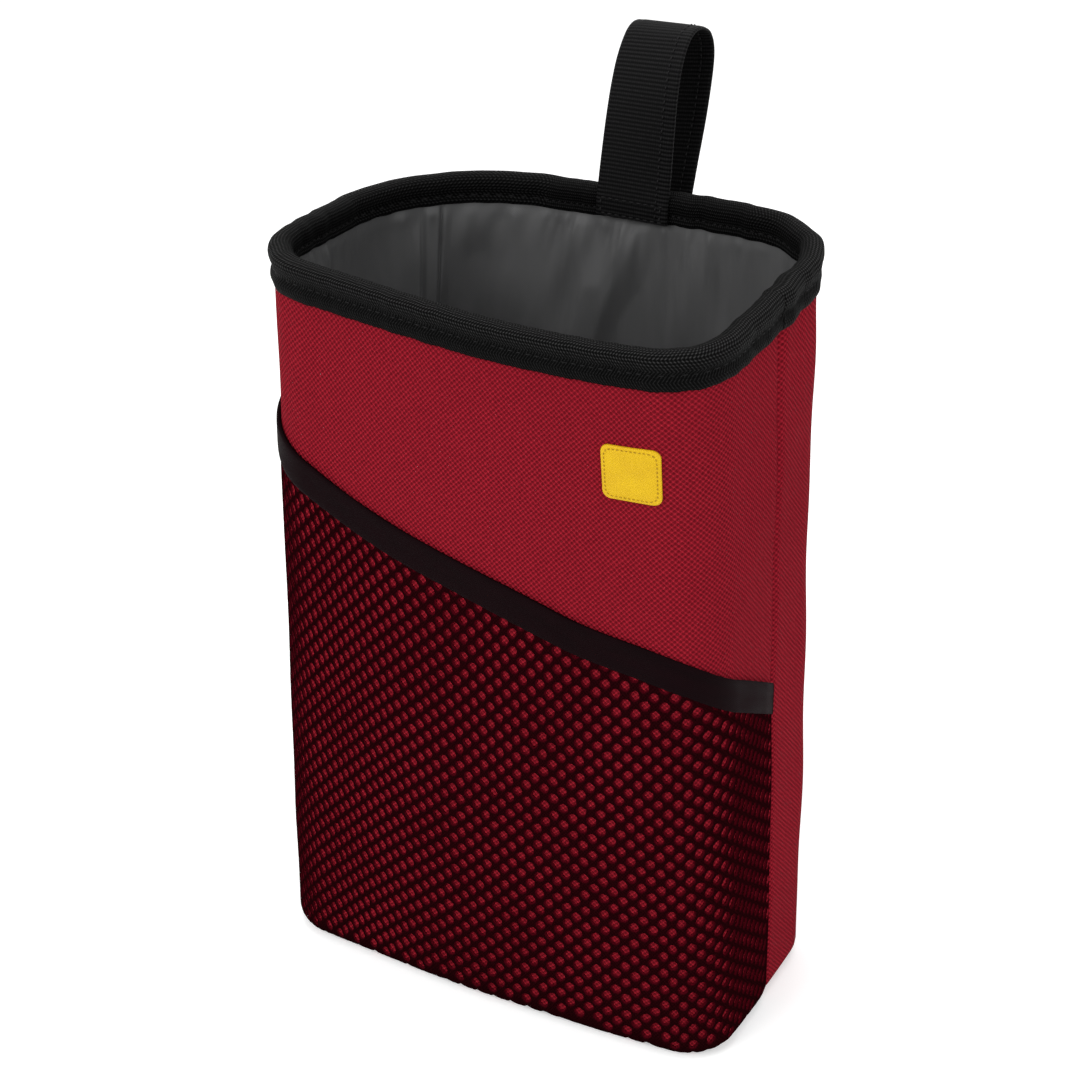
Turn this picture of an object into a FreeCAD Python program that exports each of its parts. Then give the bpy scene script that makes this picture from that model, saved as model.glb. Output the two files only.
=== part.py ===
import FreeCAD, Part
import math
import os

import Sketcher
from FreeCAD import Vector

# Driving dimensions in millimetres.
SIZES = {
    # Mouth of the bag: outline of the fabric at the rim.
    "mouth_width": 153.0,
    "mouth_depth": 112.0,
    "mouth_front_radius": 350.0,
    "mouth_back_radius": 900.0,
    "mouth_side_radius": 900.0,
    "mouth_corner_front_right": 22.0,
    "mouth_corner_back_right": 33.0,
    "mouth_corner_back_left": 52.0,
    "mouth_corner_front_left": 26.0,
    "rim_height": 252.0,
    # Base: a flatter, wider outline with a soft lower edge.
    "base_width": 165.0,
    "base_depth": 87.0,
    "base_long_radius": 770.0,
    "base_short_radius": 900.0,
    "base_corner": 17.0,
    "bottom_edge": 6.5,
    "base_seam": 8.5,
    # Layers of the wall, from outside to inside.
    "fabric": 0.8,
    "interlining": 2.6,
    "lining": 0.5,
    # Side seams: where the front and back panels meet.
    "seam_place": 1.5,
    # Tape folded over the rim.
    "binding": 1.5,
    "binding_drop": 9.5,
    "binding_drop_inside": 7.0,
    "binding_round": 2.8,
    "stitch_sink": 0.7,
    "stitch_height": 3.6,
    "stitch_channel": 1.8,
    # Openwork pocket and the band along its slanted top edge.
    "mesh": 0.9,
    "mesh_gap": 13.0,
    "mesh_pitch_across": 24.5,
    "mesh_pitch_up": 20.5,
    "mesh_margin": 5.0,
    "band": 1.0,
    "band_height": 11.0,
    "band_fold": 1.2,
    # Depth of the pocket's edge under the rim's tape, at the front corners and at the side seams.
    "edge_left_front": 46.0,
    "edge_left_seam": 30.0,
    "edge_right_front": 88.2,
    "edge_right_seam": 121.4,
    # Webbing loop on the back of the rim.
    "strap_width": 25.0,
    "strap": 1.6,
    "strap_place": 3.7,
    "strap_clear": 0.2,
    "loop_rise": 50.0,
    "loop_bend": 13.0,
    "loop_lean_front": 8.0,
    "loop_lean_rear": 20.0,
    "loop_ease": 40.0,
    "strap_tail": 52.5,
    # Plain patch on the front.
    "patch": 0.8,
    "patch_side": 18.5,
    "patch_corner": 2.5,
    "patch_inset": 13.25,
    "patch_drop": 20.25,
}

# Each outline runs front, right, back, left, with the corner that follows each side.
OUTLINES = {
    "mouth": {
        "width": "mouth_width",
        "depth": "mouth_depth",
        "sides": ("mouth_front_radius", "mouth_side_radius", "mouth_back_radius", "mouth_side_radius"),
        "corners": (
            "mouth_corner_front_right",
            "mouth_corner_back_right",
            "mouth_corner_back_left",
            "mouth_corner_front_left",
        ),
    },
    "base": {
        "width": "base_width",
        "depth": "base_depth",
        "sides": ("base_long_radius", "base_short_radius", "base_long_radius", "base_short_radius"),
        "corners": ("base_corner",) * 4,
    },
}
OUTWARD = (Vector(0, -1, 0), Vector(1, 0, 0), Vector(0, 1, 0), Vector(-1, 0, 0))
WALL = ("fabric", "interlining", "lining")
UP = Vector(0, 0, 1)
EDGE_STEPS = 3
EDGE_POSTS = {
    "left": {"front": "edge_left_front", "seam": "edge_left_seam"},
    "right": {"front": "edge_right_front", "seam": "edge_right_seam"},
}
OTHER_SIDE = {"left": "right", "right": "left"}
TAPE_LOW = "(sizes.rim_height - sizes.binding_drop)"
TAPE_LOW_INSIDE = "(sizes.rim_height - sizes.binding_drop_inside)"
NODES = (
    "front_panel",
    "back_panel",
    "base_panel",
    "front_interlining",
    "back_interlining",
    "base_board",
    "liner_wall",
    "liner_floor",
    "rim_binding",
    "mesh_pocket",
    "pocket_binding",
    "strap_loop",
    "label_patch",
)

doc = FreeCAD.newDocument("car_litter_bag")
sheet = doc.addObject("Spreadsheet::Sheet", "sizes")
for row, (alias, value) in enumerate(SIZES.items(), start=1):
    sheet.set(f"A{row}", alias)
    sheet.set(f"B{row}", str(value))
    sheet.setAlias(f"B{row}", alias)
doc.recompute()


def size(alias):
    return float(sheet.get(alias))


def total(aliases):
    return sum(size(alias) for alias in aliases)


def cells(aliases):
    """Expression for the sum of some cells of the sheet."""
    return " + ".join(f"sizes.{alias}" for alias in aliases) or "0"


def depth(inward=(), outward=()):
    """Depth under the bag's outer surface, by whole layers: its value and its expression."""
    return total(inward) - total(outward), f"(({cells(inward)}) - ({cells(outward)}))"


def plane(body, role):
    return next(item for item in body.Origin.OriginFeatures if item.Role == role)


def new_body(name):
    return doc.addObject("PartDesign::Body", name)


def new_sketch(body, name, role):
    sketch = body.newObject("Sketcher::SketchObject", name)
    sketch.AttachmentSupport = [(plane(body, role), "")]
    sketch.MapMode = "FlatFace"
    return sketch


def drive(sketch, name, expression, *constraint):
    """Add a named dimension to a sketch and bind it to the sheet."""
    index = sketch.addConstraint(Sketcher.Constraint(*constraint))
    sketch.renameConstraint(index, name)
    sketch.setExpression(f"Constraints.{name}", expression)


def angle_of(vector):
    return math.atan2(vector.y, vector.x)


def outline_arcs(level):
    """Tangent arcs of one outline as (centre, radius, start, end), front side first."""
    spec = OUTLINES[level]
    reach = [size(spec[side]) / 2 for side in ("depth", "width", "depth", "width")]
    radius = [size(alias) for alias in spec["sides"]]
    centre = [OUTWARD[i] * (reach[i] - radius[i]) for i in range(4)]
    corner_radius = [size(alias) for alias in spec["corners"]]
    corner = []
    for i in range(4):
        j = (i + 1) % 4
        near = radius[i] - corner_radius[i]
        far = radius[j] - corner_radius[i]
        line = centre[j] - centre[i]
        gap = line.Length
        along = (near**2 - far**2 + gap**2) / (2 * gap)
        aside = math.sqrt(near**2 - along**2)
        middle = centre[i] + line * (along / gap)
        offset = line.cross(UP) * (aside / gap)
        direction = OUTWARD[i] + OUTWARD[j]
        corner.append(max(middle + offset, middle - offset, key=direction.dot))
    arcs = []
    for i in range(4):
        j = (i + 1) % 4
        start = angle_of(corner[i - 1] - centre[i])
        end = angle_of(corner[i] - centre[i])
        arcs.append((centre[i], radius[i], start, end))
        arcs.append((corner[i], corner_radius[i], end, angle_of(corner[i] - centre[j])))
    return arcs


def outline_sketch(body, name, level, height, inset):
    """Closed outline of the bag at one level, moved in by a depth."""
    spec = OUTLINES[level]
    inset_value, inset_cells = inset
    sketch = new_sketch(body, name, "XY_Plane")
    sketch.setExpression("AttachmentOffset.Base.z", height)
    for centre, radius, start, end in outline_arcs(level):
        circle = Part.Circle(centre, UP, radius - inset_value)
        sketch.addGeometry(Part.ArcOfCircle(circle, start, end), False)
    for index in range(8):
        sketch.addConstraint(Sketcher.Constraint("Tangent", index, 2, (index + 1) % 8, 1))
    for i, side in enumerate(("front", "right", "back", "left")):
        arc = 2 * i
        along_y = i % 2 == 0
        reach = spec["depth" if along_y else "width"]
        radius = spec["sides"][i]
        corner = spec["corners"][i]
        ends = (-1, 1, arc, 3) if side in ("front", "left") else (arc, 3, -1, 1)
        sketch.addConstraint(Sketcher.Constraint("PointOnObject", arc, 3, -2 if along_y else -1))
        drive(
            sketch,
            f"{side}_centre",
            f"sizes.{radius} - sizes.{reach} / 2",
            "DistanceY" if along_y else "DistanceX",
            *ends,
            size(radius) - size(reach) / 2,
        )
        for index, part, alias in ((arc, "radius", radius), (arc + 1, "corner", corner)):
            inner = f"sizes.{alias} - {inset_cells}"
            drive(sketch, f"{side}_{part}", inner, "Radius", index, size(alias) - inset_value)
    return sketch


def quarter(steps):
    """Rise and shortfall of the points of a quarter round, as shares of its radius."""
    turns = [math.pi / 2 * step / steps for step in range(steps + 1)]
    return [(1 - math.cos(turn), 1 - math.sin(turn)) for turn in turns]


def add_loft(body, name, kind, inset, crown=0):
    """Ruled form from the base, round its soft lower edge and up to the mouth, at one depth of the wall.

    A crown of 1 or -1 also rounds the top edge inwards or outwards.
    """
    value, deep = inset
    bend_value = size("bottom_edge") - value
    bend = f"(sizes.bottom_edge - {deep})"
    top = "sizes.rim_height + sizes.binding"
    profiles = []
    for step, (lift, short) in enumerate(quarter(EDGE_STEPS)):
        height = f"{deep} + {bend} * {lift:.6f}"
        moved = (value + bend_value * short, f"({deep} + {bend} * {short:.6f})")
        profiles.append(outline_sketch(body, f"{name}_edge_{step}", "base", height, moved))
    if not crown:
        profiles.append(outline_sketch(body, f"{name}_mouth", "mouth", top, inset))
    else:
        for step, (short, lift) in enumerate(quarter(EDGE_STEPS)):
            height = f"{top} - sizes.binding_round * {lift:.6f}"
            share = crown * short
            moved = (value + size("binding_round") * share, f"({deep} + sizes.binding_round * {share:.6f})")
            profiles.append(outline_sketch(body, f"{name}_mouth_{step}", "mouth", height, moved))
    loft = body.newObject(kind, name)
    loft.Profile = profiles[0]
    loft.Sections = profiles[1:]
    loft.Ruled = True
    doc.recompute()
    return loft


def envelope(name, inward=(), outward=()):
    """Closed form of the bag at one depth of its wall."""
    body = new_body(name)
    add_loft(body, name + "_loft", "PartDesign::AdditiveLoft", depth(inward, outward))
    return body


def cut(name, base, tool):
    result = doc.addObject("Part::Cut", name)
    result.Base = base
    result.Tool = tool
    return result


def common(name, base, tool):
    result = doc.addObject("Part::Common", name)
    result.Base = base
    result.Tool = tool
    return result


def zone(name, y_from, y_to, z_from, z_to):
    """Box as wide as the bag and more, between two depths and two heights."""
    box = doc.addObject("Part::Box", name)
    box.setExpression("Length", "2 * sizes.base_width")
    box.setExpression("Width", f"({y_to}) - ({y_from})")
    box.setExpression("Height", f"({z_to}) - ({z_from})")
    box.setExpression("Placement.Base.x", "-sizes.base_width")
    box.setExpression("Placement.Base.y", y_from)
    box.setExpression("Placement.Base.z", z_from)
    return box


FRONT = "-sizes.mouth_depth"
BACK = "sizes.mouth_depth"
SEAM = "sizes.seam_place"
UNDER = "-sizes.rim_height"
RIM = "sizes.rim_height"
OVER = "2 * sizes.rim_height"

# Forms at each depth of the wall.
outer_form = envelope("outer_form")
fabric_form = envelope("fabric_form", inward=("fabric",))
interlining_form = envelope("interlining_form", inward=("fabric", "interlining"))
inner_form = envelope("inner_form", inward=WALL)


def base_core():
    """Upright block over the flat part of the base, inside the soft lower edge."""
    body = new_body("base_core")
    sketch = outline_sketch(body, "base_core_outline", "base", "0", depth(("base_seam",)))
    pad = body.newObject("PartDesign::Pad", "base_core_pad")
    pad.Profile = sketch
    pad.Midplane = True
    pad.setExpression("Length", "2 * sizes.bottom_edge")
    return body


core = base_core()
front_zone = zone("front_zone", FRONT, SEAM, UNDER, RIM)
back_zone = zone("back_zone", SEAM, BACK, UNDER, RIM)
rim_zone = zone("rim_zone", FRONT, BACK, UNDER, RIM)

# Red fabric: two wall panels that meet at the side seams, and the base.
fabric_shell = cut("fabric_shell", outer_form, fabric_form)
fabric_wall = cut("fabric_wall", fabric_shell, core)
common("front_panel", fabric_wall, front_zone)
common("back_panel", fabric_wall, back_zone)
common("base_panel", fabric_shell, core)

# Foam in the walls and the stiff board in the base.
foam_shell = cut("foam_shell", fabric_form, interlining_form)
foam_wall = cut("foam_wall", foam_shell, core)
common("front_interlining", foam_wall, front_zone)
common("back_interlining", foam_wall, back_zone)
common("base_board", foam_shell, core)

# Lining.
lining_shell = cut("lining_shell", interlining_form, inner_form)
lining_wall = cut("lining_wall", lining_shell, core)
common("liner_wall", lining_wall, rim_zone)
common("liner_floor", lining_shell, core)


def rim_binding():
    """Tape over the rim, shorter inside: a rounded ring with a sunk row for the stitches."""
    body = new_body("rim_ring")
    add_loft(body, "rim_ring_out", "PartDesign::AdditiveLoft", depth((), ("binding",)), crown=1)
    add_loft(body, "rim_ring_in", "PartDesign::SubtractiveLoft", depth(WALL + ("binding",)), crown=-1)
    band_zone = zone("rim_band_zone", FRONT, BACK, TAPE_LOW, OVER)
    band = common("rim_band", body, band_zone)
    wall_ring = common("rim_wall", cut("wall_ring", outer_form, inner_form), rim_zone)
    below = zone("rim_inside_zone", FRONT, BACK, UNDER, TAPE_LOW_INSIDE)
    uneven = cut("rim_uneven", band, common("rim_inside", inner_form, below))
    folded = cut("rim_folded", uneven, wall_ring)
    channel_low = f"{TAPE_LOW} + sizes.stitch_height"
    channel = zone("stitch_zone", FRONT, BACK, channel_low, f"{channel_low} + sizes.stitch_channel")
    sunk_out = envelope("sunk_out", ("stitch_sink",), ("binding",))
    sunk_in = envelope("sunk_in", WALL + ("binding",), ("stitch_sink",))
    outer_row = cut("outer_row", channel, sunk_out)
    inner_row = common("inner_row", channel, sunk_in)
    half_sunk = cut("rim_half_sunk", folded, outer_row)
    return cut("rim_binding", half_sunk, inner_row)


rim_binding()


def edge_post(side, place, drop):
    """Height of the pocket's edge at a section twice as far out as the base's side: value and expression."""
    own = EDGE_POSTS[side][place]
    across = EDGE_POSTS[OTHER_SIDE[side]][place]
    deep = size(own) + (size(own) - size(across)) / 2
    deep_cells = f"sizes.{own} + (sizes.{own} - sizes.{across}) / 2"
    value = size("rim_height") - size("binding_drop") - deep - total(drop)
    return value, f"({TAPE_LOW} - ({deep_cells}) - ({cells(drop)}))"


def edge_section(body, name, side, drop):
    """Upright section of the block under the pocket's edge, with a sloping top."""
    front, front_cells = edge_post(side, "front", drop)
    seam, seam_cells = edge_post(side, "seam", drop)
    before = size("mouth_depth")
    behind = size("seam_place") + size("bottom_edge")
    low = 2 * size("bottom_edge")
    slope = (seam - front) / (size("seam_place") + before / 2)
    slope_cells = f"({seam_cells} - {front_cells}) / (sizes.seam_place + sizes.mouth_depth / 2)"
    top_before = front - slope * before / 2
    top_behind = seam + slope * size("bottom_edge")
    sketch = new_sketch(body, name, "YZ_Plane")
    sketch.setExpression("AttachmentOffset.Base.z", f"{'-' if side == 'left' else ''}sizes.base_width")
    corners = ((-before, -low), (behind, -low), (behind, top_behind), (-before, top_before))
    for index in range(4):
        start = Vector(*corners[index], 0)
        end = Vector(*corners[(index + 1) % 4], 0)
        sketch.addGeometry(Part.LineSegment(start, end), False)
    for index in range(4):
        sketch.addConstraint(Sketcher.Constraint("Coincident", index, 2, (index + 1) % 4, 1))
    sketch.addConstraint(Sketcher.Constraint("Horizontal", 0))
    sketch.addConstraint(Sketcher.Constraint("Vertical", 1))
    sketch.addConstraint(Sketcher.Constraint("Vertical", 3))
    drive(sketch, "before", "sizes.mouth_depth", "DistanceX", 0, 1, -1, 1, before)
    drive(sketch, "behind", "sizes.seam_place + sizes.bottom_edge", "DistanceX", -1, 1, 0, 2, behind)
    drive(sketch, "low", "2 * sizes.bottom_edge", "DistanceY", 0, 1, -1, 1, low)
    raised = f"{seam_cells} + {slope_cells} * sizes.bottom_edge"
    drive(sketch, "top_behind", raised, "DistanceY", -1, 1, 1, 2, top_behind)
    lowered = f"{front_cells} - {slope_cells} * sizes.mouth_depth / 2"
    drive(sketch, "top_before", lowered, "DistanceY", -1, 1, 2, 2, top_before)
    return sketch


def below_edge(name, drop):
    """Block whose twisted top carries the pocket's edge, lowered by some cells."""
    body = new_body(name)
    left = edge_section(body, name + "_left", "left", drop)
    right = edge_section(body, name + "_right", "right", drop)
    loft = body.newObject("PartDesign::AdditiveLoft", name + "_loft")
    loft.Profile = left
    loft.Sections = [right]
    loft.Ruled = True
    return body


def ruled_point(base_arc, mouth_arc, share, rise):
    """Point and outward direction on the wall, by share of one arc and share of the height."""
    places = []
    ways = []
    for centre, radius, start, end in (base_arc, mouth_arc):
        turn = (end - start + math.pi) % (2 * math.pi) - math.pi
        way = Vector(math.cos(start + turn * share), math.sin(start + turn * share), 0)
        places.append(centre + way * radius)
        ways.append(way)
    place = places[0] * (1 - rise) + places[1] * rise
    return place, (ways[0] * (1 - rise) + ways[1] * rise).normalize()


def front_run(height, steps=24):
    """Points of the wall at one height, from the left seam round the front to the right seam."""
    rise = height / (size("rim_height") + size("binding"))
    pairs = list(zip(outline_arcs("base"), outline_arcs("mouth")))
    run = []
    for index in (6, 7, 0, 1, 2):
        for step in range(steps):
            run.append(ruled_point(*pairs[index], step / steps, rise))
    return [(place + UP * height, way) for place, way in run if place.y < size("seam_place")]


def edge_height(place):
    """Height of the pocket's edge over one point of the plan."""
    reach = size("mouth_depth") / 2
    back = (place.y + reach) / (size("seam_place") + reach)
    across = place.x / size("base_width") + 0.5
    drops = []
    for side in ("left", "right"):
        front = size(EDGE_POSTS[side]["front"])
        seam = size(EDGE_POSTS[side]["seam"])
        drops.append(front + (seam - front) * back)
    return size("rim_height") - size("binding_drop") - drops[0] - (drops[1] - drops[0]) * across


def mesh_gaps():
    """Six-sided gaps in staggered rows, square to the wall, clear of the pocket's seams."""
    gaps = []
    reach = size("mesh_gap") / 2
    clear = reach + size("mesh_margin")
    through = 4 * (size("mesh") + size("band"))
    step_up = size("mesh_pitch_up") / 2
    row = 0
    height = size("bottom_edge") + clear
    while height < size("rim_height"):
        run = front_run(height)
        lengths = [0.0]
        for (start, _), (end, _) in zip(run, run[1:]):
            lengths.append(lengths[-1] + (end - start).Length)
        middle = min(range(len(run)), key=lambda index: abs(run[index][0].x))
        shift = (row % 2) * size("mesh_pitch_across") / 2
        count = int(lengths[-1] / size("mesh_pitch_across")) + 1
        for number in range(-count, count + 1):
            along = lengths[middle] + shift + number * size("mesh_pitch_across")
            if not clear < along < lengths[-1] - clear:
                continue
            index = max(item for item, value in enumerate(lengths) if value <= along)
            place, way = run[index]
            end, end_way = run[index + 1]
            share = (along - lengths[index]) / (lengths[index + 1] - lengths[index])
            place = place + (end - place) * share
            way = (way + (end_way - way) * share).normalize()
            if height > edge_height(place) - size("band_height") - clear + size("mesh_margin"):
                continue
            corners = []
            for corner in range(7):
                turn = math.radians(60 * corner + 30)
                across = UP.cross(way) * (reach * math.cos(turn))
                corners.append(place - way * (through / 2) + across + UP * (reach * math.sin(turn)))
            face = Part.Face(Part.makePolygon(corners))
            gaps.append(face.extrude(way * through))
        row += 1
        height += step_up
    tool = doc.addObject("Part::Feature", "mesh_gaps")
    tool.Shape = Part.makeCompound(gaps)
    return tool


def pocket():
    """Openwork sheet over the lower front and the band folded over its edge."""
    front_low = zone("pocket_zone", FRONT, SEAM, "sizes.mesh", RIM)
    mesh_form = envelope("mesh_form", outward=("mesh",))
    band_form = envelope("band_form", outward=("mesh", "band"))
    mesh_sheet = common("mesh_sheet", cut("mesh_shell", mesh_form, outer_form), front_low)
    under_edge = below_edge("under_edge", ())
    under_fold = below_edge("under_fold", ("band_fold",))
    under_band = below_edge("under_band", ("band_height",))
    whole = common("mesh_whole", mesh_sheet, under_fold)
    cut("mesh_pocket", whole, mesh_gaps())
    band_sheet = common("band_sheet", cut("band_shell", band_form, outer_form), front_low)
    band_strip = cut("band_strip", common("band_upper", band_sheet, under_edge), under_band)
    cut("pocket_binding", band_strip, whole)


pocket()


def strap_line(body):
    """Side view of the webbing: up inside the rim, over a round top and down along the back panel."""
    rim_top = size("rim_height") + size("binding")
    half = size("strap") / 2
    bend = size("loop_bend")
    ease = size("loop_ease")
    front = math.radians(size("loop_lean_front"))
    rear = math.radians(size("loop_lean_rear"))
    wall_run = (size("mouth_depth") - size("base_depth")) / 2
    wall_rise = rim_top - size("bottom_edge")
    wall = math.atan2(wall_run, wall_rise)
    tail_end = size("rim_height") - size("binding_drop") - size("strap_tail")
    inside = size("mouth_depth") / 2 - total(WALL) - size("binding") - size("strap_clear") - half
    tail_out = size("base_depth") / 2 + wall_run * (tail_end - size("bottom_edge")) / wall_rise
    tail_out += size("strap_clear") + half

    def way(lean):
        return Vector(math.sin(lean), math.cos(lean), 0)

    def side(lean):
        return Vector(math.cos(lean), -math.sin(lean), 0)

    knee = Vector(inside, size("rim_height"), 0)
    foot = knee - way(wall) * (size("binding_drop_inside") / way(wall).y)
    knee_centre = knee + side(wall) * ease
    front_low = knee_centre - side(front) * ease
    crest_height = rim_top + size("loop_rise") - half - bend
    run = (crest_height + side(front).y * -bend - front_low.y) / way(front).y
    front_high = front_low + way(front) * run
    crest = front_high + side(front) * bend
    rear_high = crest + side(rear) * bend
    tail_low = Vector(tail_out, tail_end, 0)
    reach = tail_low - rear_high
    spread = way(wall).x * way(rear).y - way(wall).y * way(rear).x
    meet = tail_low - way(wall) * ((reach.x * way(rear).y - reach.y * way(rear).x) / spread)
    tangent = ease * math.tan((rear - wall) / 2)
    rear_low = meet + way(rear) * tangent
    tail_high = meet - way(wall) * tangent
    tail_centre = rear_low + side(rear) * ease

    sketch = new_sketch(body, "strap_line", "YZ_Plane")
    half_turn = math.pi
    parts = (
        Part.LineSegment(foot, knee),
        Part.ArcOfCircle(Part.Circle(knee_centre, UP, ease), half_turn - front, half_turn - wall),
        Part.LineSegment(front_low, front_high),
        Part.ArcOfCircle(Part.Circle(crest, UP, bend), -rear, half_turn - front),
        Part.LineSegment(rear_low, rear_high),
        Part.ArcOfCircle(Part.Circle(tail_centre, UP, ease), half_turn - rear, half_turn - wall),
        Part.LineSegment(tail_low, tail_high),
    )
    for item in parts:
        sketch.addGeometry(item, False)
    for joint in ((0, 2, 1, 2), (1, 1, 2, 1), (2, 2, 3, 2), (3, 1, 4, 2), (4, 1, 5, 1), (5, 2, 6, 2)):
        sketch.addConstraint(Sketcher.Constraint("Tangent", *joint))
    wall_cells = cells(WALL + ("binding", "strap_clear"))
    end_cells = f"({TAPE_LOW} - sizes.strap_tail)"
    run_cells = "(sizes.mouth_depth - sizes.base_depth) / 2"
    rise_cells = "(sizes.rim_height + sizes.binding - sizes.bottom_edge)"
    crest_cells = f"{cells(('rim_height', 'binding', 'loop_rise'))} - sizes.strap / 2 - sizes.loop_bend"
    tail_cells = f"sizes.base_depth / 2 + {run_cells} * ({end_cells} - sizes.bottom_edge) / {rise_cells}"
    lean_cells = f"90 deg - atan({run_cells} / {rise_cells})"
    inside_cells = f"sizes.mouth_depth / 2 - ({wall_cells}) - sizes.strap / 2"
    drive(sketch, "inside", inside_cells, "DistanceX", -1, 1, 0, 2, inside)
    drive(sketch, "foot", TAPE_LOW_INSIDE, "DistanceY", -1, 1, 0, 1, foot.y)
    drive(sketch, "foot_lean", lean_cells, "Angle", 0, math.pi / 2 - wall)
    drive(sketch, "knee", "sizes.rim_height", "DistanceY", -1, 1, 0, 2, knee.y)
    drive(sketch, "knee_ease", "sizes.loop_ease", "Radius", 1, ease)
    drive(sketch, "front_lean", "90 deg - sizes.loop_lean_front * 1 deg", "Angle", 2, math.pi / 2 - front)
    drive(sketch, "bend", "sizes.loop_bend", "Radius", 3, bend)
    drive(sketch, "crest", crest_cells, "DistanceY", -1, 1, 3, 3, crest_height)
    drive(sketch, "rear_lean", "90 deg - sizes.loop_lean_rear * 1 deg", "Angle", 4, math.pi / 2 - rear)
    drive(sketch, "tail_ease", "sizes.loop_ease", "Radius", 5, ease)
    drive(sketch, "tail_lean", lean_cells, "Angle", 6, math.pi / 2 - wall)
    drive(sketch, "tail_end", end_cells, "DistanceY", -1, 1, 6, 1, tail_end)
    drive(
        sketch,
        "tail_out",
        f"{tail_cells} + sizes.strap_clear + sizes.strap / 2",
        "DistanceX", -1, 1, 6, 1, tail_out,
    )
    foot_cells = f"{inside_cells} - sizes.binding_drop_inside * {run_cells} / {rise_cells}"
    return sketch, (foot.x, foot_cells)


def box_sketch(sketch, centre_x, centre_y, wide, high):
    """Rectangle about a centre; each size is given as a value and its expression."""
    left = centre_x[0] - wide[0] / 2
    right = centre_x[0] + wide[0] / 2
    low = centre_y[0] - high[0] / 2
    top = centre_y[0] + high[0] / 2
    corners = (Vector(left, low, 0), Vector(right, low, 0), Vector(right, top, 0), Vector(left, top, 0))
    for index in range(4):
        sketch.addGeometry(Part.LineSegment(corners[index], corners[(index + 1) % 4]), False)
    for index in range(4):
        sketch.addConstraint(Sketcher.Constraint("Coincident", index, 2, (index + 1) % 4, 1))
        sketch.addConstraint(Sketcher.Constraint("Vertical" if index % 2 else "Horizontal", index))
    drive(sketch, "wide", wide[1], "DistanceX", 0, 1, 0, 2, wide[0])
    drive(sketch, "high", high[1], "DistanceY", 1, 1, 1, 2, high[0])
    drive(sketch, "right", f"({centre_x[1]}) + ({wide[1]}) / 2", "DistanceX", -1, 1, 1, 1, right)
    drive(sketch, "top", f"({centre_y[1]}) + ({high[1]}) / 2", "DistanceY", -1, 1, 1, 2, top)


def strap_loop():
    """Flat webbing swept along its side view."""
    body = new_body("strap_loop")
    line, foot = strap_line(body)
    section = new_sketch(body, "strap_section", "XY_Plane")
    section.setExpression("AttachmentOffset.Base.z", TAPE_LOW_INSIDE)
    box_sketch(
        section,
        (0, "0"),
        foot,
        (size("strap_width"), "sizes.strap_width"),
        (size("strap"), "sizes.strap"),
    )
    doc.recompute()
    pipe = body.newObject("PartDesign::AdditivePipe", "strap_sweep")
    pipe.Profile = section
    pipe.Spine = (line, [f"Edge{index}" for index in range(1, 8)])
    body.setExpression("Placement.Base.x", "sizes.strap_place")


def label_patch():
    """Thin rounded patch that follows the front panel."""
    body = new_body("patch_block")
    sketch = new_sketch(body, "patch_outline", "XZ_Plane")
    half = size("patch_side") / 2
    side = (size("patch_side"), "sizes.patch_side")
    place = (
        size("mouth_width") / 2 - size("patch_inset") - half,
        "sizes.mouth_width / 2 - sizes.patch_inset - sizes.patch_side / 2",
    )
    height = (
        size("rim_height") - size("binding_drop") - size("patch_drop") - half,
        f"{TAPE_LOW} - sizes.patch_drop - sizes.patch_side / 2",
    )
    box_sketch(sketch, place, height, side, side)
    pad = body.newObject("PartDesign::Pad", "patch_pad")
    pad.Profile = sketch
    pad.setExpression("Length", "sizes.mouth_depth")
    doc.recompute()
    lengthwise = []
    for index, edge in enumerate(pad.Shape.Edges, start=1):
        if edge.BoundBox.YLength > size("patch_side"):
            lengthwise.append(f"Edge{index}")
    rounding = body.newObject("PartDesign::Fillet", "patch_round")
    rounding.Base = (pad, lengthwise)
    rounding.setExpression("Radius", "sizes.patch_corner")
    patch_form = envelope("patch_form", outward=("patch",))
    common("label_patch", cut("patch_shell", patch_form, outer_form), body)


label_patch()
strap_loop()
doc.recompute()

failed = [item.Name for item in doc.Objects if "Invalid" in item.State or "Error" in item.State]
if failed:
    raise RuntimeError(f"failed objects: {failed}")
os.makedirs("parts", exist_ok=True)
for name in NODES:
    piece = doc.getObject(name)
    piece.Label = name
    shape = piece.Shape
    if shape.isNull() or not shape.isValid() or not shape.Solids:
        raise RuntimeError(f"{name} has no valid solid")
for name in NODES:
    doc.getObject(name).Shape.exportStep(f"parts/{name}.step")
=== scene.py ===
import math

import bpy
import numpy as np
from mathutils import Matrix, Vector


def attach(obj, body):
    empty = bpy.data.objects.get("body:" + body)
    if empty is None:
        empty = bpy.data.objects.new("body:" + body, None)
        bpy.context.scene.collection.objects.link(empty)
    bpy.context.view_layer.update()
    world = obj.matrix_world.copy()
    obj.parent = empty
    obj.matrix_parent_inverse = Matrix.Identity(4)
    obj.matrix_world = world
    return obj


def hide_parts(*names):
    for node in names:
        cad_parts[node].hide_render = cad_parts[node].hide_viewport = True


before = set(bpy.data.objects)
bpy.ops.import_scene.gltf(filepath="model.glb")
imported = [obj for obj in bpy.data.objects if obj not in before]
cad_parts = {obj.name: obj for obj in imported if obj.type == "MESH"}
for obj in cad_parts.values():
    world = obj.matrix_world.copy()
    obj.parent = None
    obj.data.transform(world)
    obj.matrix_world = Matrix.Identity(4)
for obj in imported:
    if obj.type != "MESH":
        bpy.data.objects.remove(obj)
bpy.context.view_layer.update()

# Lengths are in millimetres up to the point where a mesh is made.
MM = 0.001

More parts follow.
